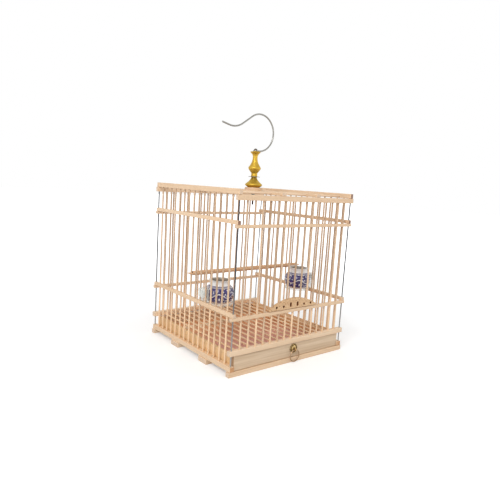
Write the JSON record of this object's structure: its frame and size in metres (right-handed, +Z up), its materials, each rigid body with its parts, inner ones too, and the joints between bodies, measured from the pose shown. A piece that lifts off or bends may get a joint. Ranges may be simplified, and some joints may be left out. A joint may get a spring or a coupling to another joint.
{
  "type": "bird cage",
  "caption": "Square hanging bird cage of bamboo rails and bars, with a lift-up door, tray drawer with ring pull, perch, clipped seed jars and a brass-finial swivel hook.",
  "frame": {"origin": "on the ground under the middle of the cage", "axes": "+Z up, +X to the right along the front, the front with the drawer and the door faces -Y"},
  "size_m": [0.215, 0.2142, 0.3502],
  "materials": {
    "bamboo": "varnished",
    "drawer_front": "varnished",
    "tray_board": "plain",
    "perch": "plain",
    "steel": "drawn wire",
    "brass": "turned and lacquered",
    "antique_metal": "aged",
    "porcelain": "glazed",
    "clear_plastic": "clear"
  },
  "bodies": {
    "cage": {"bars_back": "bamboo", "bars_front_left": "bamboo", "bars_front_right": "bamboo", "bars_left": "bamboo", "bars_right": "bamboo", "bars_under_door": "bamboo", "base_cross_back": "bamboo", "base_cross_front": "bamboo", "base_rail_back": "bamboo", "base_rail_front": "bamboo", "base_rail_left": "bamboo", "base_rail_right": "bamboo", "corner_rod_back_left": "steel", "corner_rod_back_right": "steel", "corner_rod_front_left": "steel", "corner_rod_front_right": "steel", "finial_bell": "brass", "finial_washer": "brass", "floor_bars": "bamboo", "floor_cross": "bamboo", "floor_rail_back": "bamboo", "floor_rail_front": "bamboo", "hook_disc": "bamboo", "jar_clip_left": "clear_plastic", "jar_clip_right": "clear_plastic", "jar_holder_left": "clear_plastic", "jar_holder_right": "clear_plastic", "lower_rail_back": "bamboo", "lower_rail_front": "bamboo", "lower_rail_left": "bamboo", "lower_rail_right": "bamboo", "perch": "perch", "roof_bars_back": "bamboo", "roof_bars_front": "bamboo", "roof_bars_middle": "bamboo", "top_rail_back": "bamboo", "top_rail_front": "bamboo", "top_rail_left": "bamboo", "top_rail_right": "bamboo", "top_slat_left": "bamboo", "top_slat_right": "bamboo", "upper_rail_back": "bamboo", "upper_rail_front": "bamboo", "upper_rail_left": "bamboo", "upper_rail_right": "bamboo"},
    "drawer": {"drawer_back": "bamboo", "drawer_bottom": "tray_board", "drawer_front": "drawer_front", "drawer_side_left": "bamboo", "drawer_side_right": "bamboo", "pull_rosette": "antique_metal"},
    "ring": {"pull_ring": "antique_metal"},
    "door": {"door_bars": "bamboo", "door_board": "bamboo"},
    "hook": {"hook_wire": "steel", "finial_gourd": "brass", "hook_bolt": "steel", "hook_nut": "steel"},
    "jar_left": {"seed_jar_left": "porcelain"},
    "jar_right": {"seed_jar_right": "porcelain"}
  },
  "joints": [
    {"name": "drawer_slide", "type": "slide", "parent": "cage", "child": "drawer", "axis": [0, -1, 0], "range_m": [0, 0.17]},
    {"name": "ring_swing", "type": "hinge", "parent": "drawer", "child": "ring", "pos_m": [0.0065, -0.1068, 0.0183], "axis": [-1, 0, 0], "range_deg": [0, 120]},
    {"name": "door_lift", "type": "slide", "parent": "cage", "child": "door", "axis": [0, 0, 1], "range_m": [0, 0.09]},
    {"name": "hook_swivel", "type": "hinge", "parent": "cage", "child": "hook", "pos_m": [0, 0, 0.2573], "axis": [0, 0, 1], "continuous": true},
    {"name": "jar_left_lift", "type": "slide", "parent": "cage", "child": "jar_left", "axis": [0, 0, 1], "range_m": [0, 0.03]},
    {"name": "jar_right_lift", "type": "slide", "parent": "cage", "child": "jar_right", "axis": [0, 0, 1], "range_m": [0, 0.03]}
  ]
}
